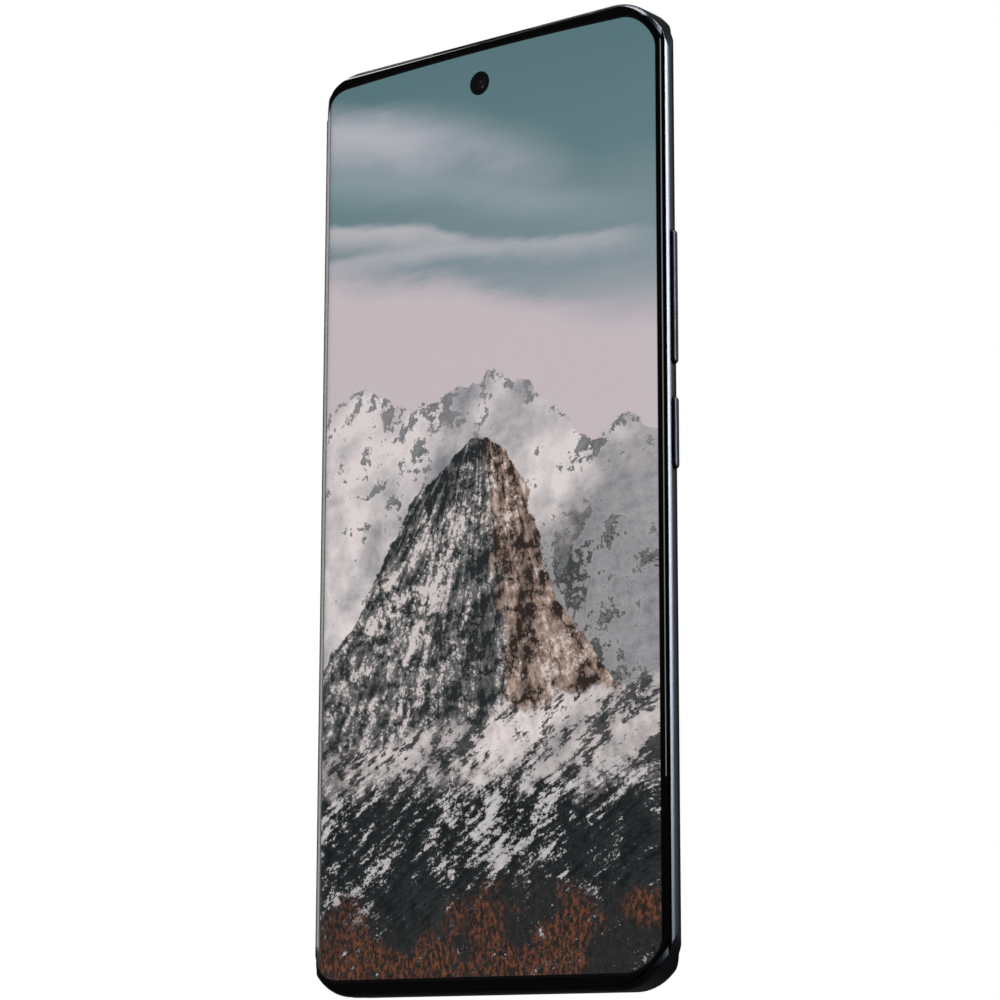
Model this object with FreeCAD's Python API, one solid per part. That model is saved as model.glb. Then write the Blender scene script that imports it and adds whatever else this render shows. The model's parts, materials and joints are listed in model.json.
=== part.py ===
"""Slab smartphone with a curved-side screen, built as separate pieces around an aluminium mid-frame.

Millimetres. The phone stands upright: +Z runs up its length, +X to the side with the keys, and the
screen faces -Y. The origin is the middle of the USB-C mouth, on the bottom edge.
"""
import FreeCAD, Part
import math
import os

V = FreeCAD.Vector

# ---- driving dimensions ----
LENGTH = 163.0          # bottom edge to top edge
HALF_W = 37.4           # centre line to the side of the frame
HALF_T = 4.08           # centre plane to the flat of the glass, and to the flat of the back
CORNER_R = 9.5          # plan corner of the frame
EDGE_R = 1.9            # rounding that runs round the frame's ends and corners, front and back

FLAT_HALF = 32.2        # the screen glass is flat this far each side of the centre line
GLASS_BEND = 5.0        # outer bend radius of the glass along each long side
GLASS_T = 0.6
GLASS_INSET = 0.56      # frame outline to glass outline, along the sides
GLASS_END = 0.95        # and at the top and bottom edges
GLASS_RIM = -1.25       # how far back the bent edge of the glass reaches
BACK_FLAT_HALF = 31.2
BACK_BEND = 7.0
BACK_T = 0.7
BACK_RIM = 1.25

PANEL_T = 0.7           # display stack under the glass
PANEL_RIM = -1.5        # how far back its bent edges reach
SIDE_CROWN = 0.3        # how far the sides of the frame bulge beyond its rims
RIM_DROP = 0.1          # the frame's rims lie this far below the glass and the back
FRONT_RIM = -1.3
REAR_RIM = 1.3
EDGE_GAP = 0.07         # between the edges of the glass or the back and the frame
LEDGE = 0.12            # adhesive thickness on the ledges
ADHESIVE_W = 0.45

PLATE_FRONT, PLATE_BACK = -2.68, -2.3     # mid plate between the display and the battery
WALL_END = 1.5          # frame wall at the top and bottom edges
CAVITY_HALF = 34.0      # half width of the inside, below the bent glass
DEEP_HALF = 31.6        # half width of the inside, up to the mid plate

KEY_Y, KEY_W, KEY_OUT = 0.28, 1.3, 38.0   # keys: depth of their centre line, width, outer face
KEY_GAP = 0.1
FLANGE_IN, FLANGE_OUT = 35.2, 35.75
POWER_Z, POWER_LEN = 89.0, 11.8
VOLUME_Z, VOLUME_LEN = 111.7, 22.4
SWITCH_TOP = 34.9

FRONT_CAM_Z = 154.85
SLIT_HALF = 10.75       # earpiece slit
TRAY_X, TRAY_HEAD_W, TRAY_W, TRAY_LEN = -21.8, 14.8, 13.4, 15.6
EJECT_X, EJECT_R = -31.0, 0.5
LEVER_X, LEVER_Z = -25.5, 22.6

BOARD_FRONT, BOARD_BACK = -0.6, 0.2       # main board
SUB_FRONT, SUB_BACK = 0.95, 1.55          # lower board

ISLAND = (6.0, 30.6, 121.6, 158.2)        # camera island x0, x1, z0, z1
ISLAND_R, ISLAND_TOP = 6.0, 5.3
MAIN_CAM = (18.3, 147.4)
WIDE_CAM = (12.8, 130.4)
MACRO_CAM = (23.8, 130.4)
FLASH = (27.0, 137.9)

UPPER_SCREWS = [(-29.6, 112), (-29.6, 134), (-29.6, 155.5), (3.6, 112.5), (3.6, 147.5)]
LOWER_SCREWS = [(-12.9, 22.9), (-12.9, 8.5), (5.4, 10.4), (5.4, 23.6)]


# ---- small helpers ----
def box(x0, x1, y0, y1, z0, z1):
    return Part.makeBox(x1 - x0, y1 - y0, z1 - z0, V(x0, y0, z0))


def rod_y(x, z, r, y0, y1):
    return Part.makeCylinder(r, y1 - y0, V(x, y0, z), V(0, 1, 0))


def rod_z(x, y, r, z0, z1):
    return Part.makeCylinder(r, z1 - z0, V(x, y, z0), V(0, 0, 1))


def fuse(shapes):
    first, *rest = shapes
    return first.fuse(rest).removeSplitter() if rest else first


def tablet(x0, x1, z0, z1, r, y0, y1):
    """Plate with round corners of radius r in plan, from y0 to y1."""
    body = box(x0, x1, y0, y1, z0, z1)
    upright = [e for e in body.Edges if abs(e.tangentAt(e.FirstParameter).y) > 0.99]
    return body.makeFillet(r, upright)


def slot_x(y, z, width, length, x0, x1):
    """Pill shape in the YZ plane, with its length along Z, from x0 to x1."""
    straight = length - width
    ends = [Part.makeCylinder(width / 2, x1 - x0, V(x0, y, z + s * straight / 2), V(1, 0, 0)) for s in (-1, 1)]
    return fuse([box(x0, x1, y - width / 2, y + width / 2, z - straight / 2, z + straight / 2)] + ends)


def plan(inset, end_inset, y0=-9, y1=9):
    """The phone's outline drawn in at its sides and ends, as a block from y0 to y1."""
    x = HALF_W - inset
    return tablet(-x, x, end_inset, LENGTH - end_inset, CORNER_R - inset, y0, y1)


def glass_plan(inset, y0, y1):
    """The outline that the cover glass and the rear cover share, drawn in by inset."""
    return plan(GLASS_INSET + inset, GLASS_END + inset, y0, y1)


def half_side(flat, bend, depth, rim, sign):
    """Points of one bent side in the XY plane: the end of the flat, a point on the bend, the rim.

    depth is measured inwards from the outer surface; sign is -1 for the screen and +1 for the back.
    """
    centre = HALF_T - bend
    r = bend - depth
    end = math.acos((abs(rim) - centre) / r)
    return [V(flat + r * math.sin(a), sign * (centre + r * math.cos(a)), 0) for a in (0, end / 2, end)]


def prism(edges):
    """Close the edges of an XY outline and run it along the phone's whole length."""
    face = Part.Face(Part.Wire(edges))
    face.translate(V(0, 0, -5))
    return face.extrude(V(0, 0, LENGTH + 10))


def mirrored(p):
    return V(-p.x, p.y, p.z)


def behind(flat, bend, depth, rim, sign):
    """Everything on the inner side of a bent surface, as a prism along the phone."""
    top, mid, end = half_side(flat, bend, depth, rim, sign)
    out, far = V(HALF_W + 3, end.y, 0), V(HALF_W + 3, -sign * 9, 0)
    right = [Part.Arc(top, mid, end).toShape(), Part.makeLine(end, out), Part.makeLine(out, far)]
    left = [Part.Arc(mirrored(end), mirrored(mid), mirrored(top)).toShape(),
            Part.makeLine(mirrored(out), mirrored(end)), Part.makeLine(mirrored(far), mirrored(out))]
    return prism(right + [Part.makeLine(far, mirrored(far))] + left[::-1] + [Part.makeLine(mirrored(top), top)])


def under_glass(depth, rim):
    return behind(FLAT_HALF, GLASS_BEND, depth, rim, -1)


def under_back(depth, rim):
    return behind(BACK_FLAT_HALF, BACK_BEND, depth, rim, 1)


# ---- frame ----
def envelope():
    """Outer body of the frame: bent rims, crowned sides, and rounded ends and corners."""
    f = half_side(FLAT_HALF, GLASS_BEND, RIM_DROP, FRONT_RIM, -1)
    b = half_side(BACK_FLAT_HALF, BACK_BEND, RIM_DROP, REAR_RIM, 1)
    lip = HALF_W - SIDE_CROWN
    side = (V(lip, FRONT_RIM, 0), V(HALF_W, (FRONT_RIM + REAR_RIM) / 2, 0), V(lip, REAR_RIM, 0))
    right = [tuple(f), (f[2], side[0]), side, (side[2], b[2]), (b[2], b[1], b[0])]

    def edge(points):
        return Part.Arc(*points).toShape() if len(points) == 3 else Part.makeLine(*points)

    left = [tuple(mirrored(p) for p in reversed(points)) for points in reversed(right)]
    edges = [edge(p) for p in right + [(b[0], mirrored(b[0]))] + left + [(mirrored(f[0]), f[0])]]
    depth = HALF_T - RIM_DROP
    block = plan(0, 0, -depth, depth)
    around = [e for e in block.Edges if abs(abs(e.CenterOfMass.y) - depth) < 1e-6]
    return block.makeFillet(EDGE_R, around).common(prism(edges))


def inside():
    """The space in the frame behind the mid plate."""
    wide = tablet(-CAVITY_HALF, CAVITY_HALF, WALL_END, LENGTH - WALL_END, 3.5, -1.2, 9)
    deep = tablet(-DEEP_HALF, DEEP_HALF, WALL_END, LENGTH - WALL_END, 3.5, PLATE_BACK, 0)
    return wide.fuse(deep)


def key_opening(z, length):
    hole = slot_x(KEY_Y, z, KEY_W + 2 * KEY_GAP, length + 2 * KEY_GAP, 35.0, 39.0)
    half = length / 2 + 1.4
    recess = box(CAVITY_HALF - 0.5, FLANGE_OUT + 0.2, KEY_Y - 0.75, KEY_Y + 0.75, z - half, z + half)
    return hole.fuse(recess)


def usb_outline(width, height, z0, z1):
    body = box(-width / 2, width / 2, -height / 2, height / 2, z0, z1)
    return body.makeFillet(height / 2 - 0.01, [e for e in body.Edges if abs(e.tangentAt(e.FirstParameter).z) > 0.99])


def tray_shape(width, height, z0, z1):
    body = box(TRAY_X - width / 2, TRAY_X + width / 2, -height / 2, height / 2, z0, z1)
    return body.makeFillet(height / 2 - 0.02, [e for e in body.Edges if abs(e.tangentAt(e.FirstParameter).z) > 0.99])


def edge_openings():
    """Openings through the bottom and top walls of the frame."""
    bottom = [usb_outline(9.0, 3.2, -1, 2)]
    bottom += [rod_z(x, 0, 0.6, -1, 2) for x in speaker_holes()]
    bottom += [tray_shape(TRAY_HEAD_W + 0.12, 1.92, -1, 1.05),
               box(TRAY_X - TRAY_W / 2 - 0.1, TRAY_X + TRAY_W / 2 + 0.1, -0.65, 0.65, -1, 2)]
    bottom += [rod_z(EJECT_X, 0, EJECT_R, -1, 2), rod_z(-9.0, 0, 0.45, -1, 2)]
    top = [rod_z(-10.5, 0, 0.45, LENGTH - 2, LENGTH + 1),
           box(-SLIT_HALF, SLIT_HALF, -9, -2.6, LENGTH - 1, LENGTH - 0.5)]
    return bottom + top


def speaker_holes():
    return [11.6 + 2.2 * i for i in range(6)]


def frame_with_bands():
    """The whole ring and mid plate, before the plastic bands are parted from the metal."""
    front = glass_plan(-EDGE_GAP, -9, 0).cut(under_glass(GLASS_T + LEDGE, GLASS_RIM + LEDGE))
    display = plan(GLASS_INSET - EDGE_GAP, WALL_END, -9, 0).cut(
        under_glass(HALF_T + PLATE_FRONT, GLASS_RIM + LEDGE))
    back = glass_plan(-EDGE_GAP, 0, 9).cut(under_back(BACK_T + LEDGE, BACK_RIM - LEDGE))
    cuts = [front, display, back, inside(), key_opening(POWER_Z, POWER_LEN), key_opening(VOLUME_Z, VOLUME_LEN)]
    cuts += edge_openings()
    cuts += [rod_y(0, FRONT_CAM_Z, 2.3, -4, -2), box(-4.6, 4.6, -4, -2, 20.9, 30.1)]
    return envelope().cut(cuts).fuse(bosses()).removeSplitter()


def bosses():
    """Screw pillars standing on the back of the mid plate."""
    pillars = [(p, BOARD_FRONT) for p in UPPER_SCREWS] + [(p, SUB_FRONT) for p in LOWER_SCREWS]
    return [rod_y(x, z, 1.4, PLATE_BACK, top).cut(rod_y(x, z, 0.62, PLATE_BACK + 0.2, top + 1))
            for (x, z), top in pillars]


def band_slabs():
    """Where the radio-transparent bands cross the top and bottom walls."""
    spots = [(-24.5, LENGTH - WALL_END), (23.5, LENGTH - WALL_END), (-12.6, -1), (26.4, -1)]
    return [box(x, x + 1.0, -9, 9, z, z + WALL_END + 1) for x, z in spots]


# ---- screen ----
def eased_ends(sign):
    """Block whose outer edges at the top and bottom are rounded, as the edges of both glasses are."""
    y0, y1 = sorted((sign * HALF_T, -sign * 5))
    block = box(-50, 50, y0, y1, GLASS_END, LENGTH - GLASS_END)
    return block.makeFillet(0.45, [e for e in block.Edges if abs(e.tangentAt(e.FirstParameter).x) > 0.99
                                   and e.CenterOfMass.y * sign > 0])


def cover_glass():
    shell = under_glass(0, GLASS_RIM).cut(under_glass(GLASS_T, GLASS_RIM))
    return glass_plan(0, -9, 0).common(shell).common(eased_ends(-1))


def display_panel():
    """Flexible display stack, bonded to the inside of the glass and bent down with it."""
    sheet = under_glass(GLASS_T + 0.02, PANEL_RIM).cut(under_glass(GLASS_T + 0.02 + PANEL_T, PANEL_RIM))
    outline = plan(GLASS_INSET + ADHESIVE_W + 0.1, WALL_END + 0.12, -9, PANEL_RIM)
    return outline.common(sheet).cut(rod_y(0, FRONT_CAM_Z, 2.1, -9, 0))


def display_adhesive():
    """Bead on the ledge that holds the glass, between the glass outline and the display."""
    ring = glass_plan(0.05, -9, 0).cut(glass_plan(0.05 + ADHESIVE_W, -9, 0))
    return ring.common(under_glass(GLASS_T + 0.01, GLASS_RIM + 0.01).cut(
        under_glass(GLASS_T + LEDGE - 0.01, GLASS_RIM + LEDGE - 0.01)))


def front_camera():
    body = box(-3.4, 3.4, PLATE_BACK + 0.05, 1.0, 151.8, 158.4)
    barrel = rod_y(0, FRONT_CAM_Z, 1.95, -3.42, PLATE_BACK + 0.1)
    cone = Part.makeCone(1.45, 0.95, 0.5, V(0, -3.42, FRONT_CAM_Z), V(0, 1, 0))
    return body.fuse(barrel).cut(cone).cut(rod_y(0, FRONT_CAM_Z, 0.95, -3.0, -2.5))


def dome(x, z, r, rise, y_base, y_tip):
    """Lens with a spherical cap of height rise at y_tip and a flat foot at y_base."""
    sign = 1 if y_tip > y_base else -1
    ball_r = (r * r + rise * rise) / (2 * rise)
    ball = Part.makeSphere(ball_r, V(x, y_tip - sign * ball_r, z))
    return rod_y(x, z, r, min(y_base, y_tip), max(y_base, y_tip)).common(ball)


# ---- back ----
def island_plan(inset, y0, y1):
    x0, x1, z0, z1 = ISLAND
    return tablet(x0 + inset, x1 - inset, z0 + inset, z1 - inset, ISLAND_R - inset, y0, y1)


def rear_cover():
    shell = under_back(0, BACK_RIM).cut(under_back(BACK_T, BACK_RIM))
    return glass_plan(0, 0, 9).common(shell).common(eased_ends(1)).cut(island_plan(0.8, 0, 9))


def rear_adhesive():
    ring = glass_plan(0.05, 0, 9).cut(glass_plan(0.05 + ADHESIVE_W, 0, 9))
    return ring.common(under_back(BACK_T + 0.01, BACK_RIM - 0.01).cut(
        under_back(BACK_T + LEDGE - 0.01, BACK_RIM - LEDGE + 0.01)))


def lens_seats():
    """Centre, window radius and ring radius of each rear camera."""
    return [(MAIN_CAM, 6.4, 8.4), (WIDE_CAM, 3.6, 4.7), (MACRO_CAM, 3.6, 4.7)]


def camera_island():
    plate = island_plan(0, HALF_T, ISLAND_TOP)
    rim = [e for e in plate.Edges if e.BoundBox.YMin > ISLAND_TOP - 0.01]
    body = plate.makeFillet(0.45, rim).fuse(island_plan(0.85, HALF_T - BACK_T, HALF_T))
    holes = [rod_y(x, z, ring, 0, 9) for (x, z), _, ring in lens_seats()]
    return body.cut(holes).cut(rod_y(*FLASH, 1.9, 0, 9))


def lens_rings():
    rings = []
    for (x, z), window, ring in lens_seats():
        top = ISLAND_TOP + 0.35
        body = rod_y(x, z, ring - 0.02, HALF_T - BACK_T, top)
        body = body.makeFillet(0.25, [e for e in body.Edges if e.BoundBox.YMin > top - 0.01])
        seat = Part.makeCone(window + 0.5, window + 0.02, 0.3, V(x, top, z), V(0, -1, 0))
        rings.append(body.cut([rod_y(x, z, window - 0.5, 0, 9), rod_y(x, z, window + 0.02, top - 0.75, 9), seat]))
    return Part.makeCompound(rings)


def camera_windows():
    return Part.makeCompound([rod_y(x, z, window, ISLAND_TOP - 0.38, ISLAND_TOP + 0.05)
                              for (x, z), window, _ in lens_seats()])


def main_camera_body():
    x, z = MAIN_CAM
    body = box(x - 5.5, x + 5.5, PLATE_BACK + 0.05, 3.1, z - 5.5, z + 5.5)
    return body.cut(rod_y(x, z, 4.4, -0.6, 9))


def main_lens_barrel():
    x, z = MAIN_CAM
    barrel = rod_y(x, z, 4.32, -0.5, 3.3).fuse(rod_y(x, z, 3.9, 3.3, 4.3))
    return barrel.cut(Part.makeCone(3.3, 2.6, 0.7, V(x, 4.3, z), V(0, -1, 0)))


def fixed_camera(centre, size, y0, barrel_r):
    x, z = centre
    body = box(x - size / 2, x + size / 2, y0, 2.9, z - size / 2, z + size / 2)
    cone = Part.makeCone(barrel_r * 0.8, barrel_r * 0.5, 0.8, V(x, 4.6, z), V(0, -1, 0))
    return body.fuse(rod_y(x, z, barrel_r, 2.9, 4.6)).cut(cone)


# ---- keys and tray ----
def key(z, length):
    """Pill-shaped cap with a bevelled rim and a longer flange behind the frame wall."""
    cap = slot_x(KEY_Y, z, KEY_W, length, FLANGE_OUT - 0.1, KEY_OUT)
    rim = [e for e in cap.Edges if e.BoundBox.XMin > KEY_OUT - 0.01]
    half = length / 2 + 1.1
    flange = box(FLANGE_IN, FLANGE_OUT, KEY_Y - 0.6, KEY_Y + 0.6, z - half, z + half)
    return cap.makeChamfer(0.24, rim).fuse(flange)


def key_flex():
    strip = box(33.55, 33.85, -0.4, 0.8, POWER_Z - 5.4, VOLUME_Z + 9.6)
    domes = [Part.makeCylinder(0.55, SWITCH_TOP - 33.85, V(33.85, KEY_Y, z), V(1, 0, 0))
             for z in (POWER_Z, VOLUME_Z - 6, VOLUME_Z + 6)]
    return strip.fuse(domes)


def sim_tray():
    head = tray_shape(TRAY_HEAD_W, 1.8, 0, 1.0)
    half = TRAY_W / 2
    body = box(TRAY_X - half, TRAY_X + half, -0.55, 0.55, 0.9, TRAY_LEN)
    seat = box(TRAY_X - 6.2, TRAY_X + 6.2, -0.4, 0.9, 4.4, 13.3)
    window = box(TRAY_X - 4.5, TRAY_X + 4.5, -0.9, 0.9, 5.6, 12.1)
    return head.fuse(body).cut([seat, window])


def sim_card():
    card = box(TRAY_X - 6.15, TRAY_X + 6.15, -0.38, 0.29, 4.45, 13.25)
    corner = box(-1.2, 1.2, -1, 1, -1.2, 1.2)
    corner.rotate(V(0, 0, 0), V(0, 1, 0), 45)
    corner.translate(V(TRAY_X + 6.15, 0, 13.25))
    return card.cut(corner)


def sim_reader():
    """Metal cage on the lower board, open at the bottom and the top, with the lever's pivot post."""
    half = TRAY_W / 2
    outer = box(TRAY_X - half - 0.75, TRAY_X + half + 0.7, -0.85, SUB_FRONT, 2.0, 20.4)
    cage = outer.cut(box(TRAY_X - half - 0.12, TRAY_X + half + 0.12, -0.67, 0.67, 0, 30))
    base = box(-28.6, -22.4, 0.75, SUB_FRONT, 20.3, 24.4)
    return cage.fuse([base, rod_y(LEVER_X, LEVER_Z, 0.5, -0.75, 0.8)])


def eject_lever():
    bar = tablet(-31.5, -20.2, LEVER_Z - 0.5, LEVER_Z + 0.5, 0.45, -0.4, 0.4)
    hub = rod_y(LEVER_X, LEVER_Z, 1.1, -0.4, 0.4)
    return bar.fuse(hub).cut(rod_y(LEVER_X, LEVER_Z, 0.55, -1, 1))


# ---- inside, top ----
def main_board():
    board = box(-31.2, 6.0, BOARD_FRONT, BOARD_BACK, 109.2, 157.0).fuse(
        box(5.9, 31.0, BOARD_FRONT, BOARD_BACK, 109.2, 121.0))
    holes = [rod_y(x, z, 0.7, -2, 2) for x, z in UPPER_SCREWS]
    return board.cut([box(-3.8, 3.8, -2, 2, 151.4, 158)] + holes)


def can(x0, x1, z0, z1, y0, y1, open_to):
    """Stamped shield: a thin box, open on the side that sits on the board."""
    t = 0.15
    low, high = (y0 + t, y1 + 1) if open_to > 0 else (y0 - 1, y1 - t)
    return box(x0, x1, y0, y1, z0, z1).cut(box(x0 + t, x1 - t, low, high, z0 + t, z1 - t))


def shield_cans():
    return Part.makeCompound([can(-27.5, -6, 114.4, 150, -1.9, BOARD_FRONT, 1),
                              can(-27.5, -6, 114.4, 150, BOARD_BACK, 1.4, -1),
                              can(8, 29, 110.4, 119.6, BOARD_BACK, 1.4, -1)])


def board_chips():
    front = [(-24, -11, 120, 133), (-23, -15, 136, 146)]
    back = [(-25, -16, 117, 128), (-14, -8, 120, 130), (-22, -12, 134, 145), (11, 17, 112, 118)]
    return Part.makeCompound([box(a, b, -1.6, BOARD_FRONT, c, d) for a, b, c, d in front]
                             + [box(a, b, BOARD_BACK, 1.0, c, d) for a, b, c, d in back])


def upper_bracket():
    plate = tablet(-31.2, 5.2, 109.4, 157.5, 1.5, 1.7, 2.1)
    feet = [rod_y(x, z, 1.2, BOARD_BACK, 1.75) for x, z in UPPER_SCREWS]
    return plate.fuse(feet).cut([rod_y(x, z, 0.68, 0, 3) for x, z in UPPER_SCREWS] +
                                [box(-3.8, 3.8, 0, 3, 151.4, 158)])


def lower_bracket():
    plate = tablet(-31.0, 7.2, 3.4, 25.2, 1.5, 2.3, 2.7)
    feet = [rod_y(x, z, 1.2, SUB_BACK, 2.35) for x, z in LOWER_SCREWS]
    return plate.fuse(feet).cut([rod_y(x, z, 0.68, 0, 3) for x, z in LOWER_SCREWS])


def screws():
    places = [(p, 2.1, -1.9) for p in UPPER_SCREWS] + [(p, 2.7, -1.9) for p in LOWER_SCREWS]
    made = []
    for (x, z), seat, tip in places:
        cross = [box(x - 0.6, x + 0.6, seat + 0.25, seat + 1, z - 0.12, z + 0.12),
                 box(x - 0.12, x + 0.12, seat + 0.25, seat + 1, z - 0.6, z + 0.6)]
        made.append(rod_y(x, z, 1.1, seat, seat + 0.5).fuse(rod_y(x, z, 0.6, tip, seat)).cut(cross))
    return Part.makeCompound(made)


# ---- inside, middle and bottom ----
def battery():
    return tablet(-30.8, 30.8, 27.4, 105.8, 1.2, -2.18, 2.35)


def main_flex():
    strip = box(-5, 1.8, -2.29, -2.21, 22.3, 111.6)
    ends = [box(-5, 1.8, -2.29, BOARD_FRONT, 109.6, 111.6), box(-5, 1.8, -2.29, SUB_FRONT, 22.3, 24.2)]
    return strip.fuse(ends)


def battery_flex():
    strip = box(-9, -1, 0.3, 0.45, 106.0, 110.0)
    return strip.fuse([box(-9, -1, 0.3, 0.45, 105.85, 106.1), box(-9, -1, BOARD_BACK, 1.1, 109.6, 112.6)])


def wireless_coil():
    """Spiral coil for cordless charging, as concentric flat turns on one carrier ring."""
    turns = [rod_y(0, 70, 13.0 + 1.1 * i + 0.8, 2.62, 2.95).cut(rod_y(0, 70, 13.0 + 1.1 * i, 2, 4))
             for i in range(9)]
    carrier = rod_y(0, 70, 23.4, 2.56, 2.64).cut(rod_y(0, 70, 12.5, 2, 4))
    return carrier.fuse(turns)


def usb_shell():
    shell = usb_outline(8.84, 3.06, 0.15, 8.4)
    return shell.cut(usb_outline(8.34, 2.56, -1, 8.1))


def usb_tongue():
    return usb_outline(8.3, 2.52, 7.2, 8.08).fuse(box(-3.35, 3.35, -0.35, 0.35, 2.2, 7.3))


def sub_board():
    board = box(-30.6, 7.4, SUB_FRONT, SUB_BACK, 2.2, 25.4)
    return board.cut([box(-4.8, 4.8, 0, 2, 1, 8.8)] + [rod_y(x, z, 0.7, 0, 2) for x, z in LOWER_SCREWS])


def speaker_box():
    body = tablet(8.4, 31.0, 3.2, 25.4, 2.0, -2.1, 2.9)
    duct = box(10.6, 24.0, -0.9, 0.9, 1.9, 3.4)
    return body.fuse(duct).cut(box(11.2, 23.4, -0.6, 0.6, 1, 6))


def motor_case():
    return box(-11.4, 3.6, -2.2, 0.9, 11.2, 20.8).cut(box(-11.1, 3.3, -1.9, 0.6, 11.5, 20.5))


def motor_mass():
    return tablet(-10.4, 2.6, 11.8, 20.2, 0.8, -1.75, 0.45)


# ---- every piece, by node name ----
def pieces():
    ring = frame_with_bands()
    slabs = Part.makeCompound(band_slabs())
    parts = {
        "mid_frame": ring.cut(slabs),
        "antenna_bands": ring.common(slabs),
        "cover_glass": cover_glass(),
        "display_panel": display_panel(),
        "display_adhesive": display_adhesive(),
        "fingerprint_sensor": box(-4.5, 4.5, -2.66, -2.32, 21.0, 30.0),
        "front_camera": front_camera(),
        "front_camera_lens": dome(0, FRONT_CAM_Z, 0.93, 0.3, -2.6, -3.2),
        "earpiece_mesh": box(-10.6, 10.6, -3.3, -3.1, LENGTH - 0.8, LENGTH - 0.54),
        "earpiece_receiver": tablet(-7.5, 7.5, 158.6, 161.3, 0.6, -2.2, 0.2),
        "rear_cover": rear_cover(),
        "rear_adhesive": rear_adhesive(),
        "camera_island": camera_island(),
        "lens_rings": lens_rings(),
        "camera_windows": camera_windows(),
        "main_camera_body": main_camera_body(),
        "main_lens_barrel": main_lens_barrel(),
        "main_lens_glass": dome(*MAIN_CAM, 2.55, 0.7, 3.62, 4.35),
        "wide_camera": fixed_camera(WIDE_CAM, 8.4, PLATE_BACK + 0.1, 2.9),
        "macro_camera": fixed_camera(MACRO_CAM, 6.6, -0.9, 2.4),
        "flash_window": dome(*FLASH, 1.85, 0.2, 4.5, ISLAND_TOP + 0.1),
        "flash_led": box(FLASH[0] - 1.0, FLASH[0] + 1.0, 3.6, 4.3, FLASH[1] - 1.0, FLASH[1] + 1.0),
        "power_button": key(POWER_Z, POWER_LEN),
        "volume_rocker": key(VOLUME_Z, VOLUME_LEN),
        "key_flex": key_flex(),
        "sim_tray": sim_tray(),
        "sim_card": sim_card(),
        "sim_reader": sim_reader(),
        "eject_rod": rod_z(EJECT_X, 0, 0.4, 1.6, LEVER_Z - 0.75),
        "eject_lever": eject_lever(),
        "main_board": main_board(),
        "shield_cans": shield_cans(),
        "board_chips": board_chips(),
        "heat_spreader": tablet(-27, 2, 113.8, 149, 1.5, -2.28, -1.95),
        "upper_bracket": upper_bracket(),
        "lower_bracket": lower_bracket(),
        "screws": screws(),
        "battery": battery(),
        "battery_flex": battery_flex(),
        "main_flex": main_flex(),
        "ferrite_sheet": tablet(-25, 25, 45, 95, 3.0, 2.4, 2.54),
        "wireless_coil": wireless_coil(),
        "usb_shell": usb_shell(),
        "usb_tongue": usb_tongue(),
        "sub_board": sub_board(),
        "speaker_box": speaker_box(),
        "speaker_mesh": box(10.7, 23.9, -1.1, 1.1, 1.55, 1.75),
        "microphones": Part.makeCompound([box(-10.5, -7.5, -0.6, SUB_FRONT, 2.6, 5.6),
                                          box(-12.0, -9.0, -0.6, 0.5, 158.0, 161.0)]),
        "vibration_motor": motor_case(),
        "vibration_mass": motor_mass(),
    }
    return parts


os.makedirs("parts", exist_ok=True)
for node, shape in pieces().items():
    shape.exportStep("parts/%s.step" % node)
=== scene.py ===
"""Looks of the curved-screen smartphone: materials, wallpaper, floor, light and camera.

Metres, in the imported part's own frame: +Z up the length, +X to the keys, -Y out of the screen.
"""

import json
import math

import bpy
from mathutils import Matrix, Vector

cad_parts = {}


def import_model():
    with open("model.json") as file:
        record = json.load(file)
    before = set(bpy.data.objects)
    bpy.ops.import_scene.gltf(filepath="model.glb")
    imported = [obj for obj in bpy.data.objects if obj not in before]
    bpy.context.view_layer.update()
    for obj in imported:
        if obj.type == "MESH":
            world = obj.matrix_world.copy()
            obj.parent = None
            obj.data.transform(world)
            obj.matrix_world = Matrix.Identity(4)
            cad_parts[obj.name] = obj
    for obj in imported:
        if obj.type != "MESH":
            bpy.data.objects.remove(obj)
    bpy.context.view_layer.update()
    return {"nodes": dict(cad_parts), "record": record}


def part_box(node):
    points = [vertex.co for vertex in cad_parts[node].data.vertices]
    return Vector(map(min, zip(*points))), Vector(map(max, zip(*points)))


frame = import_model()
nodes = frame["nodes"]
scene = bpy.context.scene

# ---- places on the phone, in millimetres ----
MM = 1000
_, PANEL_HI = (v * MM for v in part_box("display_panel"))
CAM_LO, CAM_HI = (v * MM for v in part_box("front_camera_lens"))
GLASS_LO, GLASS_HI = (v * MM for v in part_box("cover_glass"))
SIDE_INSET, TOP_INSET, BOTTOM_INSET = 0.3, 1.5, 1.9  # from the panel's side and the glass's ends
LIT_HALF_W = PANEL_HI.x - SIDE_INSET
LIT_TOP = GLASS_HI.z - TOP_INSET
LIT_BOTTOM = GLASS_LO.z + BOTTOM_INSET
LIT_CORNER = 5.4
LIT_BLUR = 0.04
TOP_BOW = 1500            # the lit area's top edge falls by x squared over this
HOLE_Z = (CAM_LO.z + CAM_HI.z) / 2
HOLE_R = 2.12
HOLE_BLUR = 0.03
REAR_LENSES = ((18.3, 147.4), (12.8, 130.4), (23.8, 130.4))  # x and z of each lens's axis
FLASH = (27.0, 137.9)     # x and z of the flash's axis
TAPE_Z = 101.6            # foot of the tape over the battery's top

# ---- looks that several pieces share, or that set the whole picture ----
PICTURE_TALL = 4.5        # height of the lit area, in half widths
SCREEN_STRENGTH = 1.08
FILM_GRAIN = 0.14
EDGE_BEVEL = 0.0003       # metres


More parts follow.
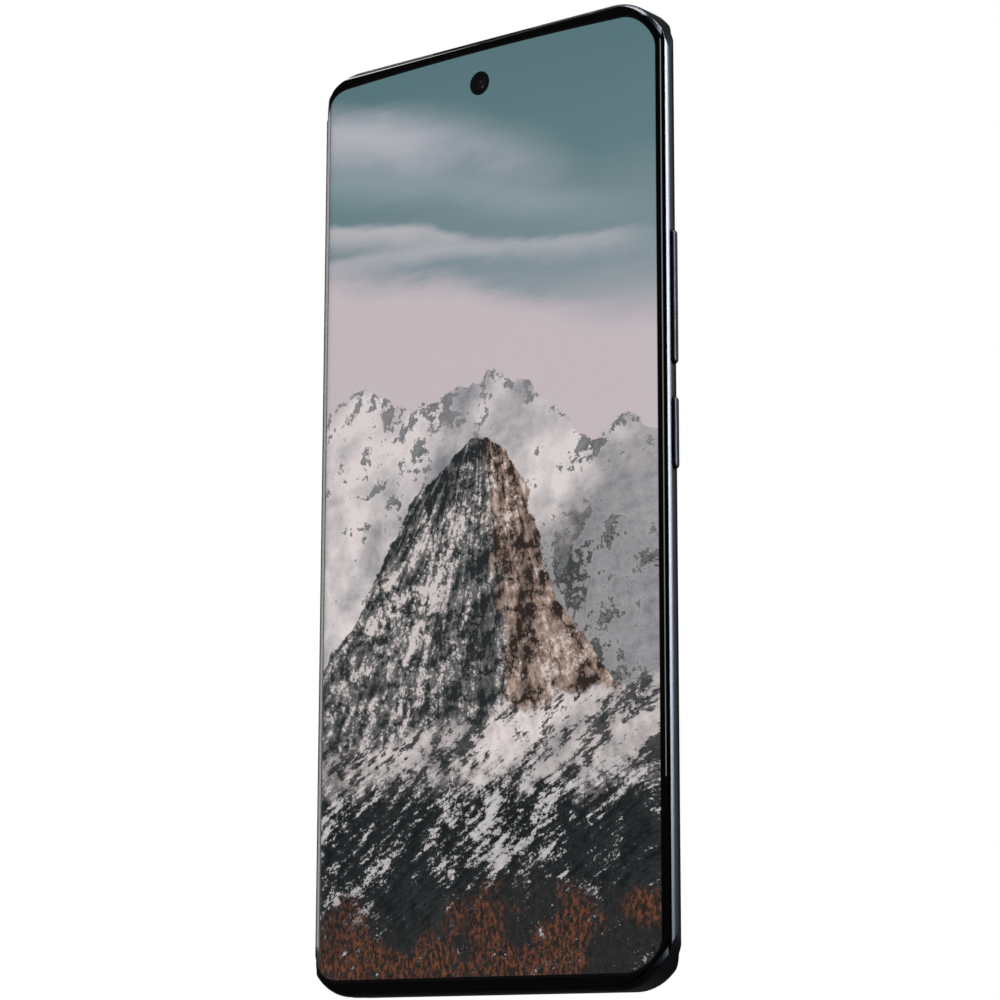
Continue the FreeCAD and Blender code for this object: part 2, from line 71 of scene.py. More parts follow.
# ---- node graphs as arithmetic ----
class Val:
    """One socket of a node graph, with arithmetic."""

    def __init__(self, graph, socket):
        self.g, self.s = graph, socket

    def __add__(self, o):
        return self.g.math("ADD", self, o)

    __radd__ = __add__

    def __sub__(self, o):
        return self.g.math("SUBTRACT", self, o)

    def __rsub__(self, o):
        return self.g.math("SUBTRACT", o, self)

    def __mul__(self, o):
        return self.g.math("MULTIPLY", self, o)

    __rmul__ = __mul__

    def __truediv__(self, o):
        return self.g.math("DIVIDE", self, o)

    def __pow__(self, o):
        return self.g.math("POWER", self, o)

    def __abs__(self):
        return self.g.math("ABSOLUTE", self)


def linear(rgb):
    """sRGB from 0 to 255, as the linear colour that nodes use."""
    def one(c):
        c /= 255
        return c / 12.92 if c <= 0.04045 else ((c + 0.055) / 1.055) ** 2.4
    return tuple(one(c) for c in rgb) + (1.0,)


class Graph:
    """A material's node tree with its Principled shader."""

    def __init__(self, name):
        self.mat = bpy.data.materials.new(name)
        self.mat.use_nodes = True
        self.t = self.mat.node_tree
        self.t.nodes.clear()
        out = self.t.nodes.new("ShaderNodeOutputMaterial")
        self.shader = self.t.nodes.new("ShaderNodeBsdfPrincipled")
        self.t.links.new(self.shader.outputs[0], out.inputs["Surface"])
        coords = self.t.nodes.new("ShaderNodeTexCoord")
        scaled = self.t.nodes.new("ShaderNodeVectorMath")
        scaled.operation = "SCALE"
        scaled.inputs["Scale"].default_value = MM
        self.t.links.new(coords.outputs["Object"], scaled.inputs[0])
        self.mm = Val(self, scaled.outputs[0])
        split = self.t.nodes.new("ShaderNodeSeparateXYZ")
        self.t.links.new(scaled.outputs[0], split.inputs[0])
        self.x, self.y, self.z = (Val(self, split.outputs[i]) for i in range(3))

    def put(self, socket, value):
        if isinstance(value, Val):
            self.t.links.new(value.s, socket)
        elif value is not None:
            socket.default_value = value

    def math(self, op, a, b=None, clamp=False):
        n = self.t.nodes.new("ShaderNodeMath")
        n.operation, n.use_clamp = op, clamp
        for i, v in enumerate((a, b)):
            self.put(n.inputs[i], v)
        return Val(self, n.outputs[0])

    def held(self, a, b):
        """The sum of two values, held between 0 and 1."""
        return self.math("ADD", a, b, clamp=True)

    def away(self, x, z):
        """Distance from the line along Y through x and z."""
        dx, dz = self.x - x, self.z - z
        return self.math("SQRT", dx * dx + dz * dz)

    def vec(self, x, y, z=0.0):
        n = self.t.nodes.new("ShaderNodeCombineXYZ")
        for i, v in enumerate((x, y, z)):
            self.put(n.inputs[i], v)
        return Val(self, n.outputs[0])

    def noise(self, at, scale, detail, rough, kind="FBM", dims="3D", warp=0.0):
        n = self.t.nodes.new("ShaderNodeTexNoise")
        n.noise_type, n.noise_dimensions, n.normalize = kind, dims, True
        for key, v in (("Vector", at), ("Scale", scale), ("Detail", detail),
                       ("Roughness", rough), ("Distortion", warp)):
            self.put(n.inputs[key], v)
        return Val(self, n.outputs["Fac"])

    def cells(self, at, scale, feature="F1", dims="3D"):
        n = self.t.nodes.new("ShaderNodeTexVoronoi")
        n.feature, n.voronoi_dimensions = feature, dims
        self.put(n.inputs["Vector"], at)
        self.put(n.inputs["Scale"], scale)
        return Val(self, n.outputs["Distance"])

    def step(self, v, lo, hi):
        """0 up to lo and 1 from hi, smooth between; lo may be above hi."""
        n = self.t.nodes.new("ShaderNodeMapRange")
        n.interpolation_type = "SMOOTHSTEP"
        self.put(n.inputs["Value"], v)
        self.put(n.inputs["From Min"], min(lo, hi))
        self.put(n.inputs["From Max"], max(lo, hi))
        made = Val(self, n.outputs["Result"])
        return 1.0 - made if lo > hi else made

    def mix(self, fac, a, b, blend="MIX"):
        n = self.t.nodes.new("ShaderNodeMix")
        n.data_type, n.blend_type = "RGBA", blend
        for key, v in (("Factor_Float", fac), ("A_Color", a), ("B_Color", b)):
            socket = next(s for s in n.inputs if s.identifier == key)
            self.put(socket, v)
        return Val(self, next(s for s in n.outputs if s.identifier == "Result_Color"))

    def shades(self, fac, first, second):
        """From one sRGB colour to another."""
        return self.mix(fac, linear(first), linear(second))

    def ramp(self, v, stops):
        n = self.t.nodes.new("ShaderNodeValToRGB")
        e = n.color_ramp.elements
        while len(e) > 1:
            e.remove(e[-1])
        for i, (at, rgb) in enumerate(stops):
            if i:
                e.new(at)
            e[i].position, e[i].color = at, linear(rgb)
        self.put(n.inputs[0], v)
        return Val(self, n.outputs[0])

    def curve(self, v, points):
        """A smooth curve through (place, value) points, all from 0 to 1."""
        n = self.t.nodes.new("ShaderNodeFloatCurve")
        c = n.mapping.curves[0]
        for i, (x, y) in enumerate(points):
            if i < 2:
                c.points[i].location = (x, y)
            else:
                c.points.new(x, y)
        n.mapping.update()
        self.put(n.inputs["Value"], v)
        return Val(self, n.outputs[0])

    def bump(self, height, distance, strength, normal=None):
        n = self.t.nodes.new("ShaderNodeBump")
        for key, v in (("Height", height), ("Distance", distance), ("Strength", strength),
                       ("Normal", normal)):
            self.put(n.inputs[key], v)
        return Val(self, n.outputs[0])

    def bevel(self, radius):
        n = self.t.nodes.new("ShaderNodeBevel")
        n.samples = 6
        n.inputs["Radius"].default_value = radius
        return Val(self, n.outputs[0])

    def set(self, **sockets):
        """Values or graph results for the shader, by socket name with _ for a blank."""
        for key, v in sockets.items():
            self.put(self.shader.inputs[key.replace("_", " ")], v)


# ---- wallpaper: misty snow peaks made from noise ----
def wallpaper(g):
    """A made-up mountain scene over the lit area, as the colour the screen gives off."""
    X = g.x / LIT_HALF_W
    T = (LIT_TOP - g.z) / (LIT_TOP - LIT_BOTTOM)
    V = T * PICTURE_TALL

    def field(x, y, scale, detail, rough, seed=0.0):
        return g.noise(g.vec(x + seed, y), scale, detail, rough, dims="2D") - 0.5

    def turned(angle, across):
        """Places along a line at an angle below the level, across times finer over it."""
        c, s = math.cos(math.radians(angle)), math.sin(math.radians(angle))
        return X * c + V * s, (V * c - X * s) * across

    def relief(x, y, scale, reach, detail, rough, seed=0.0):
        """A noise field, and how far it rises towards the light at the upper left."""
        here = field(x, y, scale, detail, rough, seed)
        return here, here - field(x - reach, y - reach * 0.8, scale, detail, rough, seed)

    # sky
    drift = field(X * 0.9, T * 9, 1.0, 5, 0.55)
    fine = field(X * 1.6, T * 40, 1.0, 6, 0.62, 7)
    sky = g.ramp(T + drift * 0.05 + fine * 0.014, [
        (0, (86, 116, 122)), (0.13, (95, 124, 129)), (0.17, (112, 133, 139)),
        (0.235, (120, 139, 146)), (0.28, (146, 154, 161)), (0.335, (186, 178, 184)),
        (0.375, (201, 191, 194))])

    # soft clouds: fall to the right, height, softness over and under, fade at the right,
    # colour and amount
    for fall, height, over, under, fade, rgb, amount in (
            (0.058, 0.052, 0.05, 0.075, (-0.6, 0.6), (180, 180, 189), 0.95),
            (0.05, 0.105, 0.02, 0.04, (0.1, 1.2), (142, 157, 164), 0.6),
            (0.056, 0.158, 0.014, 0.04, (-0.4, 0.3), (184, 182, 186), 0.9),
            (0.016, 0.205, 0.012, 0.024, (0.55, 1.1), (172, 173, 180), 0.8)):
        off = T - ((X + 1) * fall + height) + drift * 0.05 + fine * 0.012
        band = g.step(off, -over, 0.0) * g.step(off, under, 0.0)
        band = band * g.step(X + drift, fade[1], fade[0])
        sky = g.mix(band * amount, sky, linear(rgb))
    off = T - (X + 1) * 0.064 - 0.2 + drift * 0.06 + fine * 0.03
    sky = g.mix(g.step(off, -0.014, 0.034), sky, linear((195, 184, 189)))

    # outlines, as the share of the way down
    ragged = field(X, V, 6.0, 9, 0.66, 3.1)
    far_line = g.curve((X + 1) * 0.5, [
        (0, 0.388), (0.14, 0.358), (0.27, 0.386), (0.42, 0.378), (0.57, 0.366), (0.7, 0.4),
        (0.84, 0.452), (0.93, 0.436), (1, 0.45)])
    below = T - far_line + ragged * 0.045
    far = g.step(below, -0.0012, 0.0012)
    apex_x, apex_t = -0.01, 0.43
    edge = field(X, V, 7.0, 9, 0.62, 11.0)
    side, drop = X - apex_x, T - apex_t
    left = g.curve(drop * 3.2, [
        (0, 0.03), (0.08, 0.16), (0.2, 0.34), (0.34, 0.46), (0.56, 0.62), (0.8, 0.88), (1, 1.0)])
    right = g.curve(drop * 3.2, [
        (0, 0.04), (0.1, 0.2), (0.28, 0.3), (0.5, 0.38), (0.72, 0.56), (0.9, 0.76), (1, 0.86)])
    over_left = left * 1.15 + side + edge * 0.14
    over_right = right * 1.1 - side + edge * 0.12
    peak = g.step(over_left, 0.0, 0.012) * g.step(over_right, 0.0, 0.012)
    peak = peak * g.step(T + edge * 0.02, apex_t, apex_t + 0.003)
    shoulder = g.step(T - 0.61 + X * 0.17 + edge * 0.1, -0.03, 0.05) * g.step(X, 0.2, 0.4)
    base = g.step(T - 0.735 + X * 0.03 + ragged * 0.05, -0.006, 0.006)
    slope = g.step(T - 0.775 - X * 0.01 + ragged * 0.1, -0.02, 0.05)

    # relief: h_ is a height and l_ is how it catches the light
    h_big, l_big = relief(X, V, 1.7, 0.09, 5, 0.5)
    h_fine, l_fine = relief(X, V, 5.5, 0.03, 12, 0.72, 21.0)
    grain = field(X, V, 60, 5, 0.75, 5.0)
    cracks = g.step(abs(field(X, V, 5.0, 9, 0.66, 33.0)), 0.05, 0.0)
    slide = field(*turned(66, 4.0), 2.6, 9, 0.68, 2.0)
    fan_x = (X - 0.02) / (T - 0.36) * 0.42
    _, l_fan = relief(fan_x, V * 0.6, 3.4, 0.035, 10, 0.7, 51.0)
    h_slant, l_slant = relief(*turned(-27, 2.6), 2.6, 0.04, 11, 0.72, 40.0)
    sweep = field(*turned(-24, 3.0), 1.9, 10, 0.7, 4.0)

    # far snowfields with rock along the crest
    crest = g.step(below, 0.055, 0.0)
    stones = l_fine * 0.9 + h_fine * 0.9 + h_big * 0.5 + crest * 0.2 - 0.16 + grain * 0.1
    stones = g.step(stones, 0.0, 0.03)
    snow = g.shades(g.held(0.7 + l_big * 3.4, l_fine * 0.8), (112, 116, 122), (222, 212, 211))
    rock = g.shades(g.held(0.4 + l_fine * 3.0, grain), (34, 40, 43), (124, 127, 129))
    ground = g.mix(stones, snow, rock)

    # the shaded slope on the right
    dull = g.held(0.5 + l_fine * 1.6 + l_big, grain * 0.5)
    crag = h_fine + h_big * 0.8 + l_fine * 0.6 - 0.09 + g.step(X, 0.9, 0.5) * 0.14
    shade = g.mix(g.step(crag, 0.0, 0.05), g.shades(dull, (112, 114, 118), (172, 168, 170)),
                  g.shades(dull, (30, 34, 36), (92, 92, 92)))
    ground = g.mix(shoulder * (1.0 - stones * 0.8), ground, shade)

    # the peak: dusted rock, warmer and bare on its right face
    face = g.step(side - drop * 0.7 + edge * 0.3 + h_big * 0.2, -0.03, 0.05)
    tone = g.held(0.4 + l_fine * 2.0 + l_fan * 2.4 + l_big * 1.6 - cracks * 0.4, slide * face)
    bare = g.mix(face, g.shades(tone, (34, 38, 40), (150, 147, 146)),
                 g.shades(tone, (46, 36, 33), (196, 170, 156)))
    dust = l_fine * 1.1 + l_fan * 1.5 + grain + l_big * 1.2 - 0.05 - face * 0.12 - cracks * 0.2
    body = g.mix(g.step(dust, 0.0, 0.14) * 0.9, bare, linear((212, 202, 200)))
    ground = g.mix(peak, ground, body)

    # the snow at its foot, and the dark slopes under that
    foot = g.step(h_slant * 1.4 + l_slant * 1.6 + grain * 0.4 + 0.1, -0.02, 0.06)
    foot_snow = g.shades(g.held(0.6 + l_big * 2.0, l_fine * 1.6), (142, 138, 140), (224, 213, 211))
    foot_rock = g.shades(g.held(0.5 + l_fine * 2.2, grain), (32, 37, 39), (92, 90, 89))
    ground = g.mix(base, ground, g.mix(foot, foot_rock, foot_snow))
    thin = g.step(T, 0.8, 0.99)
    patches = h_slant * 1.3 + l_slant * 2.2 + sweep + grain * 1.2 + h_big * 0.8 - 0.1 - thin * 0.24
    dark = g.shades(g.held(0.3 + l_slant * 2.4, grain), (17, 21, 23), (58, 62, 63))
    slope_snow = g.shades(g.held(0.55 - thin * 0.2, l_slant * 2.0),
                          (108, 110, 113), (214, 208, 208))
    ground = g.mix(slope, ground, g.mix(g.step(patches, 0.0, 0.05), dark, slope_snow))

    # trees
    crown = field(X * 1.7, V, 26, 5, 0.75, 9.0)
    wood = g.step(T + h_big * 0.16 + X * 0.02 + edge * 0.05, 0.9, 0.945)
    rusty = g.step(field(X, V, 3.0, 4, 0.5, 14.0) - X * 0.12, -0.1, 0.02)
    leaves = g.mix(g.step(crown, -0.08, 0.16), linear((36, 33, 32)),
                   g.shades(rusty, (44, 46, 46), (112, 68, 48)))
    ground = g.mix(wood * g.step(crown + h_fine, -0.14, -0.08), ground, leaves)

    # haze over the far ground, and grain over all of it
    haze = g.step(T, 0.56, 0.36) * 0.22
    ground = g.mix(haze * (1.0 - peak), ground, linear((190, 182, 186)))
    picture = g.mix(g.math("MAXIMUM", far, peak), sky, ground)
    speck = field(X, V, 130, 2, 0.6, 8.0) + 0.5
    return g.mix(FILM_GRAIN, picture, g.vec(speck, speck, speck), "SOFT_LIGHT")


def lit_outline(g, grow=0.0):
    """1 inside the outline of the lit part of the panel: a bowed, round-cornered rectangle."""
    mid, half = (LIT_TOP + LIT_BOTTOM) / 2, (LIT_TOP - LIT_BOTTOM) / 2
    up = g.z - mid
    sag = g.x * g.x / TOP_BOW * g.step(up, -20, 20)
    qx = abs(g.x) - (LIT_HALF_W - LIT_CORNER)
    qz = abs(up) + sag - (half - LIT_CORNER)
    outer = g.math("SQRT", g.math("MAXIMUM", qx, 0.0) ** 2.0 + g.math("MAXIMUM", qz, 0.0) ** 2.0)
    inner = g.math("MINIMUM", g.math("MAXIMUM", qx, qz), 0.0)
    return g.step(outer + inner - LIT_CORNER - grow, LIT_BLUR, -LIT_BLUR)


def lit_area(g):
    """The lit outline less the camera hole."""
    hole = g.step(g.away(0.0, HOLE_Z), HOLE_R - HOLE_BLUR, HOLE_R + HOLE_BLUR)
    return lit_outline(g) * hole


def display():
    """Black panel whose lit area shows the wallpaper."""
    g = Graph("display_lit")
    picture = g.mix(lit_area(g), (0.0, 0.0, 0.0, 1.0), wallpaper(g))
    speck = g.noise(g.mm, 3.0, 3, 0.6)
    g.set(Base_Color=g.mix(speck, (0.0015, 0.0015, 0.002, 1), (0.004, 0.004, 0.005, 1)),
          Roughness=0.4 + speck * 0.1, Specular_IOR_Level=0.0, Emission_Color=picture,
          Emission_Strength=SCREEN_STRENGTH)
    return g.mat


# ---- surfaces ----
def surface(name, dark, bright, metallic, rough, scale, stretch=(1, 1, 1), bump=0.0, bevel=0.0,
            kind="FBM", **fixed):
    """A material whose colour, roughness and relief follow one noise field."""
    g = Graph(name)
    at = g.vec(g.x * stretch[0], g.y * stretch[1], g.z * stretch[2])
    n = g.noise(at, scale, 4, 0.6, kind=kind)
    normal = g.bevel(bevel) if bevel else None
    if bump:
        normal = g.bump(n, bump, 0.5, normal)
    g.set(Base_Color=g.shades(n, dark, bright), Metallic=metallic,
          Roughness=rough[0] + n * (rough[1] - rough[0]), Normal=normal, **fixed)
    return g.mat


def frame_metal():
    """Dark anodised aluminium, finely blasted, with softened edges."""
    g = Graph("frame_metal_blasted")
    grain = g.noise(g.mm, 14, 3, 0.6)
    cloudy = g.noise(g.mm, 0.35, 3, 0.5)
    g.set(Base_Color=g.shades(grain, (50, 53, 58), (62, 65, 71)), Metallic=1.0,
          Roughness=0.24 + grain * 0.06 + cloudy * 0.04,
          Normal=g.bump(grain, 0.000004, 0.35, g.bevel(EDGE_BEVEL)))
    return g.mat


def cover_glass():
    """Clear over the picture, with black printed round it."""
    g = Graph("cover_glass_clear")
    smear = g.noise(g.mm, 0.12, 5, 0.6)
    clear = g.mix(smear, (0.985, 0.99, 0.99, 1), (1, 1, 1, 1))
    g.set(Base_Color=g.mix(lit_outline(g, 0.5), (0, 0, 0, 1), clear), Roughness=0.0, IOR=1.5,
          Transmission_Weight=1.0)
    return g.mat


def lens_glass():
    """Coated glass with a faint blue tint."""
    g = Graph("lens_glass_coated")
    n = g.noise(g.mm, 0.8, 3, 0.5)
    g.set(Base_Color=g.mix(n, (0.62, 0.66, 0.78, 1), (0.6696, 0.7128, 0.8424, 1)),
          Roughness=0.01 + n * 0.01, IOR=1.55, Transmission_Weight=1.0)
    return g.mat


def front_camera():
    """Black barrel with a dark bronze baffle round the lens, and a painted dark violet reflection
    of the lens's coating at its middle.
    """
    g = Graph("front_camera_barrel")
    away = g.away(0.0, HOLE_Z)
    grain = g.noise(g.mm, 12, 3, 0.6)
    baffle = g.step(away, 0.9, 1.0) * g.step(away, 1.4, 1.25)
    # painted reflection: the middle is tinted dark violet, as the coated lens would reflect
    painted_lens_reflection = g.step(away, 0.75, 0.6)
    black = g.shades(grain, (4, 4, 5), (9, 9, 10))
    colour = g.mix(painted_lens_reflection, g.mix(baffle, black, linear((30, 24, 26))), linear((10, 9, 24)))
    g.set(Base_Color=colour, Roughness=0.5 + grain * 0.1, Specular_IOR_Level=0.1)
    return g.mat


def turned_rings():
    """Polished rings with fine marks from turning, round each rear camera's own axis."""
    g = Graph("ring_metal_turned")
    away = g.away(*REAR_LENSES[0])
    for lens in REAR_LENSES[1:]:
        away = g.math("MINIMUM", away, g.away(*lens))
    marks = g.noise(g.vec(away, 0.0), 28, 3, 0.7)
    g.set(Base_Color=g.shades(marks, (120, 124, 130), (158, 162, 168)), Metallic=1.0,
          Roughness=0.12 + marks * 0.14, Normal=g.bump(marks, 0.00001, 0.4))
    return g.mat


def back_glass():
    """Frosted dark glass, its colour lightened in very fine specks as painted glints."""
    g = Graph("back_glass_frosted")
    grain_and_painted_glints = g.noise(g.mm, 22, 2, 0.6)
    broad = g.noise(g.mm, 0.03, 2, 0.5)
    # painted glints: the colour is lighter in the fine specks; the same specks also roughen and
    # bump the glass
    g.set(Base_Color=g.shades(grain_and_painted_glints * 0.7 + broad * 0.3, (38, 44, 52), (66, 74, 84)),
          Roughness=0.36 + grain_and_painted_glints * 0.1, Specular_IOR_Level=0.6, Coat_Weight=0.25,
          Coat_Roughness=0.3, Normal=g.bump(grain_and_painted_glints, 0.000003, 0.3))
    return g.mat


def board():
    """Solder mask with tracks and tinned pads."""
    g = Graph("board_mask")
    flat = g.vec(g.x, g.z)
    cell = g.cells(flat, 0.55, "DISTANCE_TO_EDGE", "2D")
    tracks = g.step(cell, 0.09, 0.06) * g.step(cell, 0.03, 0.05)
    pads = g.step(g.cells(flat, 0.8, dims="2D"), 0.16, 0.12)
    n = g.noise(g.mm, 2.0, 4, 0.6)
    colour = g.mix(tracks, g.shades(n, (12, 44, 32), (22, 62, 44)), linear((44, 100, 70)))
    g.set(Base_Color=g.mix(pads, colour, linear((196, 176, 120))), Metallic=pads * 0.9,
          Roughness=0.3 + n * 0.15, Normal=g.bump(tracks + pads, 0.00003, 0.4))
    return g.mat


def flex():
    """Polyimide film with copper tracks along it."""
    g = Graph("flex_film")
    tracks = g.step(g.math("FRACT", (g.x + g.y * 0.5) * 2.2), 0.35, 0.45)
    n = g.noise(g.mm, 3.0, 3, 0.5)
    film = g.shades(n, (112, 62, 18), (140, 84, 28))
    g.set(Base_Color=g.mix(tracks, film, linear((176, 112, 48))), Roughness=0.25 + n * 0.1,
          Coat_Weight=0.4, Normal=g.bump(tracks, 0.00001, 0.3))
    return g.mat


def battery_wrap():
    """Dull wrinkled film, with amber tape over the battery's top."""
    g = Graph("battery_wrap_film")
    wrinkle = g.noise(g.vec(g.x * 0.5, g.y, g.z * 0.12), 1.0, 4, 0.55, warp=0.6)
    fine = g.noise(g.mm, 9, 3, 0.6)
    tape = g.step(g.z, TAPE_Z, TAPE_Z + 0.2)
    film = g.shades(fine, (34, 35, 38), (46, 47, 50))
    g.set(Base_Color=g.mix(tape, film, linear((150, 120, 60))), Roughness=0.38 + fine * 0.12,
          Normal=g.bump(wrinkle, 0.0002, 0.35))
    return g.mat


def woven_mesh():
    """Crossed wires, with the holes between them painted near black as shade."""
    g = Graph("mesh_metal_woven")
    per_mm = 22
    wires = g.math("MAXIMUM", g.math("SINE", (g.x + g.z) * per_mm),
                   g.math("SINE", (g.x - g.z) * per_mm)) * 0.5 + 0.5
    # painted shade: near black in the holes where the wires leave gaps
    hole = g.step(wires, 0.6, 0.4)
    g.set(Base_Color=g.mix(hole, linear((70, 72, 76)), (0.001, 0.001, 0.001, 1)), Metallic=0.6,
          Roughness=0.4 + wires * 0.1, Normal=g.bump(wires, 0.00003, 0.6))
    return g.mat


def nano_card():
    """Blank white card with gilt contacts on the side that faces the reader."""
    g = Graph("card_blank")
    lo, hi = (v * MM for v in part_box("sim_card"))
    u = (g.x - lo.x) / (hi.x - lo.x)
    v = (g.z - lo.z) / (hi.z - lo.z)
    low, high = 0.12, 0.88    # where the contacts start and end, as shares of the card
    area = g.step(u, low, 0.13) * g.step(u, high, 0.87)
    area = area * g.step(v, low, 0.13) * g.step(v, high, 0.87)
    gap_u = g.step(abs(g.math("FRACT", (u - low) / 0.2534) - 0.5), 0.47, 0.45)
    gap_v = g.step(abs(g.math("FRACT", (v - low) / 0.38) - 0.5), 0.47, 0.45)
    gilt = area * gap_u * gap_v * g.step(g.y, lo.y + 0.02, lo.y + 0.01)
    n = g.noise(g.mm, 5, 3, 0.5)
    white = g.shades(n, (222, 222, 218), (234, 234, 230))
    g.set(Base_Color=g.mix(gilt, white, linear((214, 176, 92))), Metallic=gilt,
          Roughness=0.42 - gilt * 0.2 + n * 0.05)
    return g.mat


def flash_lens():
    """Clear plastic moulded with fine rings round the flash's axis."""
    g = Graph("flash_lens_moulded")
    rings = g.math("SINE", g.away(*FLASH) * 26) * 0.5 + 0.5
    g.set(Base_Color=g.mix(rings, (0.95, 0.93, 0.85, 1), (1, 1, 0.96, 1)),
          Roughness=0.05 + rings * 0.08, IOR=1.49, Transmission_Weight=0.9,
          Normal=g.bump(rings, 0.00004, 0.5))
    return g.mat


def led():
    """Yellow phosphor with a fine cell pattern."""
    g = Graph("led_phosphor")
    cell = g.cells(g.mm, 6.0)
    g.set(Base_Color=g.shades(cell, (238, 212, 96), (250, 232, 150)), Roughness=0.5 + cell * 0.2,
          Subsurface_Weight=0.1)
    return g.mat


def ferrite():
    """Grey sheet, cracked into small cells."""
    g = Graph("ferrite_sheet_cracked")
    crack = g.step(g.cells(g.mm, 0.8, "DISTANCE_TO_EDGE"), 0.06, 0.02)
    n = g.noise(g.mm, 6, 3, 0.6)
    sheet = g.shades(n, (78, 79, 82), (92, 93, 96))
    g.set(Base_Color=g.mix(crack, sheet, linear((40, 41, 43))), Roughness=0.35 + n * 0.2,
          Metallic=0.3, Normal=g.bump(crack, 0.00002, 0.5))
    return g.mat


MATERIALS = {
    "frame_metal": frame_metal(),
    "band_plastic": surface("band_plastic_tinted", (22, 25, 29), (30, 34, 39), 0.0, (0.42, 0.5), 9,
                            bump=0.000006, bevel=EDGE_BEVEL),
    "screen_glass": cover_glass(),
    "display": display(),
    "adhesive": surface("adhesive_foam", (6, 6, 7), (16, 16, 17), 0.0, (0.7, 0.9), 9,
                        bump=0.00003, Specular_IOR_Level=0.0),
    "back_glass": back_glass(),
    "island_metal": surface("island_metal_blasted", (36, 41, 48), (50, 56, 64), 0.9, (0.34, 0.44),
                            16, bump=0.000005, bevel=EDGE_BEVEL),
    "ring_metal": turned_rings(),
    "lens_glass": lens_glass(),
    "camera_black": surface("camera_black_grain", (10, 10, 11), (22, 22, 24), 0.0, (0.4, 0.6), 10,
                            bump=0.00001),
    "flash_lens": flash_lens(),
    "led": led(),
    "mesh_metal": woven_mesh(),
    "steel": surface("steel_stamped", (150, 152, 156), (184, 186, 190), 1.0, (0.26, 0.42), 2.5,
                     (0.3, 4, 4), bump=0.00001),
    "plated_steel": surface("plated_steel_nickel", (176, 178, 182), (204, 205, 208), 1.0,
                            (0.12, 0.22), 5),
    "board": board(),
    "chip": surface("chip_moulded", (28, 28, 30), (42, 42, 45), 0.0, (0.45, 0.6), 12,
                    bump=0.00001),
    "copper": surface("copper_bare", (176, 104, 66), (214, 136, 92), 1.0, (0.2, 0.36), 2.0),
    "bracket": surface("bracket_fibre", (24, 25, 27), (46, 47, 50), 0.0, (0.45, 0.65), 5,
                       (0.4, 1, 1.6), bump=0.00002, kind="RIDGED_MULTIFRACTAL"),
    "battery_wrap": battery_wrap(),
    "flex": flex(),
    "ferrite": ferrite(),
    "card": nano_card(),
    "tungsten": surface("tungsten_ground", (96, 96, 99), (128, 128, 132), 1.0, (0.3, 0.45), 3,
                        (0.2, 5, 5)),
}

for row in frame["record"]["subparts"]:
    obj = nodes[row["node"]]
    obj.data.materials.clear()
    obj.data.materials.append(MATERIALS[row["material_slot"]])
nodes["front_camera"].data.materials[0] = front_camera()


# ---- floor, light and camera, in metres ----
CENTRE = Vector((0.0, 0.0, 0.0815))                     # halfway up the phone
FLOOR_HALF, FLOOR_Z = 6.0, -0.03
FLOOR_GLOW, FLOOR_STRENGTH = (0.8, 0.8, 0.8, 1), 0.9
WORLD_SEEN, WORLD_DIM, DIM_STRENGTH = (1, 1, 1, 1), (0.95, 0.97, 1, 1), 0.05
VIEW_YAW, VIEW_TILT, VIEW_ROLL = 38.174, 11.021, -0.146  # degrees
VIEW_CENTRE = Vector((-1.397, -0.824, 508.815)) / MM    # CENTRE from the camera: right, up, ahead
LENS, SENSOR, CLIP_START = 108.76, 36.0, 0.01


def floor():
    """A pale floor with some glow of its own, left out of mirrored, bent and bounced light."""
    mesh = bpy.data.meshes.new("floor")
    r, z = FLOOR_HALF, FLOOR_Z
    mesh.from_pydata([(-r, -r, z), (r, -r, z), (r, r, z), (-r, r, z)], [], [(0, 1, 2, 3)])
    made = bpy.data.objects.new("floor", mesh)
    scene.collection.objects.link(made)
    pale = surface("floor_pale", (232, 232, 232), (238, 238, 238), 0.0, (0.6, 0.7), 0.02)
    shader = pale.node_tree.nodes["Principled BSDF"]
    shader.inputs["Emission Color"].default_value = FLOOR_GLOW
    shader.inputs["Emission Strength"].default_value = FLOOR_STRENGTH
    mesh.materials.append(pale)
    made.visible_glossy = made.visible_diffuse = made.visible_transmission = False


def world():
    """White where it is looked at directly, and dim as light and in mirrored light."""
    w = bpy.data.worlds.new("studio")
    scene.world = w
    w.use_nodes = True
    t = w.node_tree
    t.nodes.clear()
    out = t.nodes.new("ShaderNodeOutputWorld")
    seen, dim = t.nodes.new("ShaderNodeBackground"), t.nodes.new("ShaderNodeBackground")
    seen.inputs["Color"].default_value = WORLD_SEEN
    dim.inputs["Color"].default_value = WORLD_DIM
    dim.inputs["Strength"].default_value = DIM_STRENGTH
    path, mix = t.nodes.new("ShaderNodeLightPath"), t.nodes.new("ShaderNodeMixShader")
    t.links.new(path.outputs["Is Camera Ray"], mix.inputs[0])
    t.links.new(dim.outputs[0], mix.inputs[1])
    t.links.new(seen.outputs[0], mix.inputs[2])
    t.links.new(mix.outputs[0], out.inputs["Surface"])


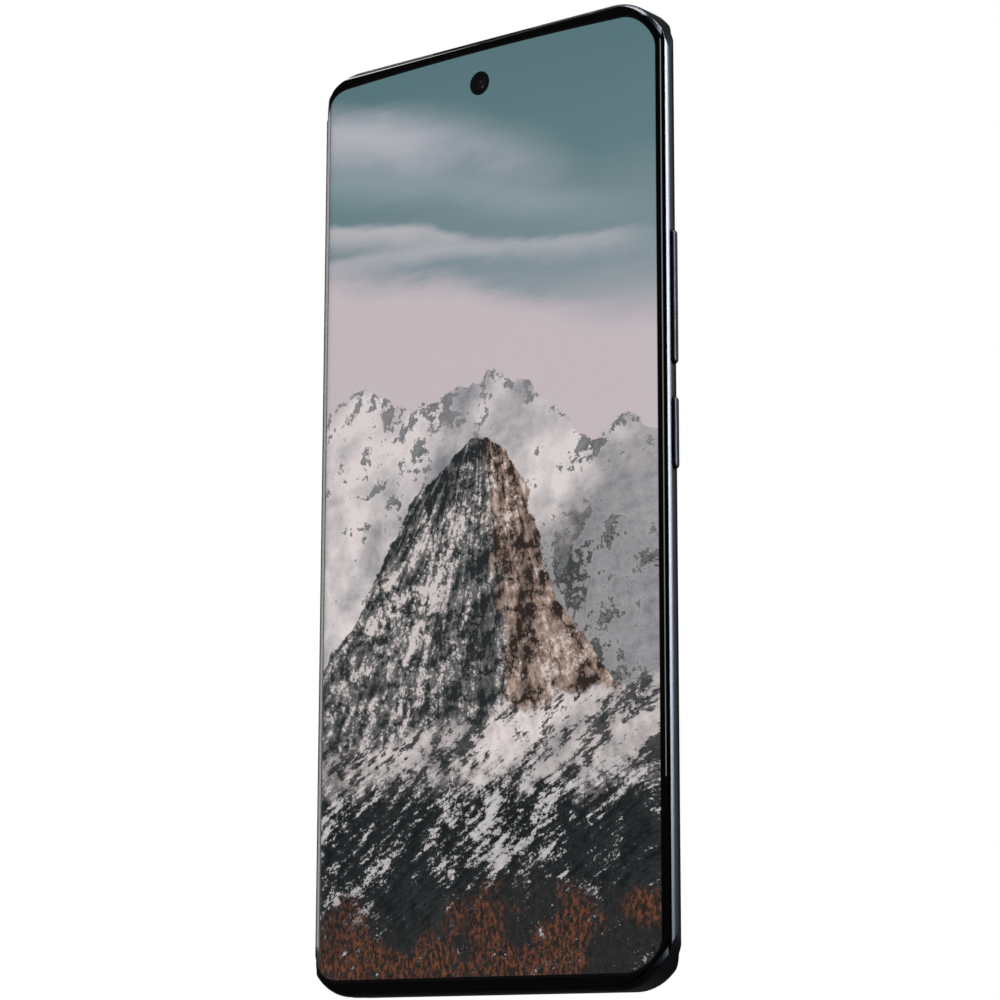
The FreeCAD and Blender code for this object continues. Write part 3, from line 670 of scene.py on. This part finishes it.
def softbox(name, azimuth, elevation, distance, size, power):
    """An area light that looks at the phone; azimuth 0 faces the screen, 90 the key side."""
    a, e = math.radians(azimuth), math.radians(elevation)
    way = Vector((math.sin(a) * math.cos(e), -math.cos(a) * math.cos(e), math.sin(e)))
    data = bpy.data.lights.new(name, "AREA")
    data.shape, data.size, data.size_y = "RECTANGLE", size[0], size[1]
    data.energy = power
    lamp = bpy.data.objects.new(name, data)
    scene.collection.objects.link(lamp)
    lamp.location = CENTRE + way * distance
    lamp.rotation_euler = way.to_track_quat("Z", "Y").to_euler()
    lamp.visible_camera = False


def camera():
    """Looks up at the phone from in front of it, on the key side."""
    yaw, tilt, roll = (math.radians(v) for v in (VIEW_YAW, VIEW_TILT, VIEW_ROLL))
    base = Matrix(((math.cos(yaw), math.sin(yaw), 0),
                   (0, 0, 1),
                   (-math.sin(yaw), math.cos(yaw), 0)))
    lift = Matrix(((1, 0, 0),
                   (0, math.cos(tilt), -math.sin(tilt)),
                   (0, math.sin(tilt), math.cos(tilt))))
    turn = Matrix(((math.cos(roll), -math.sin(roll), 0),
                   (math.sin(roll), math.cos(roll), 0),
                   (0, 0, 1)))
    rows = turn @ lift @ base
    right, up, ahead = rows[0], rows[1], rows[2]
    placed = Matrix((right, up, -ahead)).transposed().to_4x4()
    placed.translation = CENTRE - rows.transposed() @ VIEW_CENTRE
    data = bpy.data.cameras.new("camera")
    data.lens, data.sensor_width, data.clip_start = LENS, SENSOR, CLIP_START
    cam = bpy.data.objects.new("camera", data)
    scene.collection.objects.link(cam)
    cam.matrix_world = placed
    scene.camera = cam


floor()
world()
# name, azimuth and elevation in degrees, distance, width and height in metres, watts
softbox("key", 98, 27, 0.9, (0.24, 0.8), 24)
softbox("side_fill", 135, 14, 1.0, (0.7, 0.8), 0.9)
softbox("back_left", -124, 30, 0.9, (0.8, 1.1), 1.1)
softbox("left_high", -75, 46, 0.9, (0.5, 0.14), 2.2)
softbox("spark", -82, 33, 0.9, (0.1, 0.1), 1.4)
softbox("glass_line", 80, 24, 0.9, (0.06, 0.7), 0.6)
softbox("top", 20, 88, 0.8, (0.4, 0.4), 6)
camera()
scene.view_settings.view_transform = "Standard"
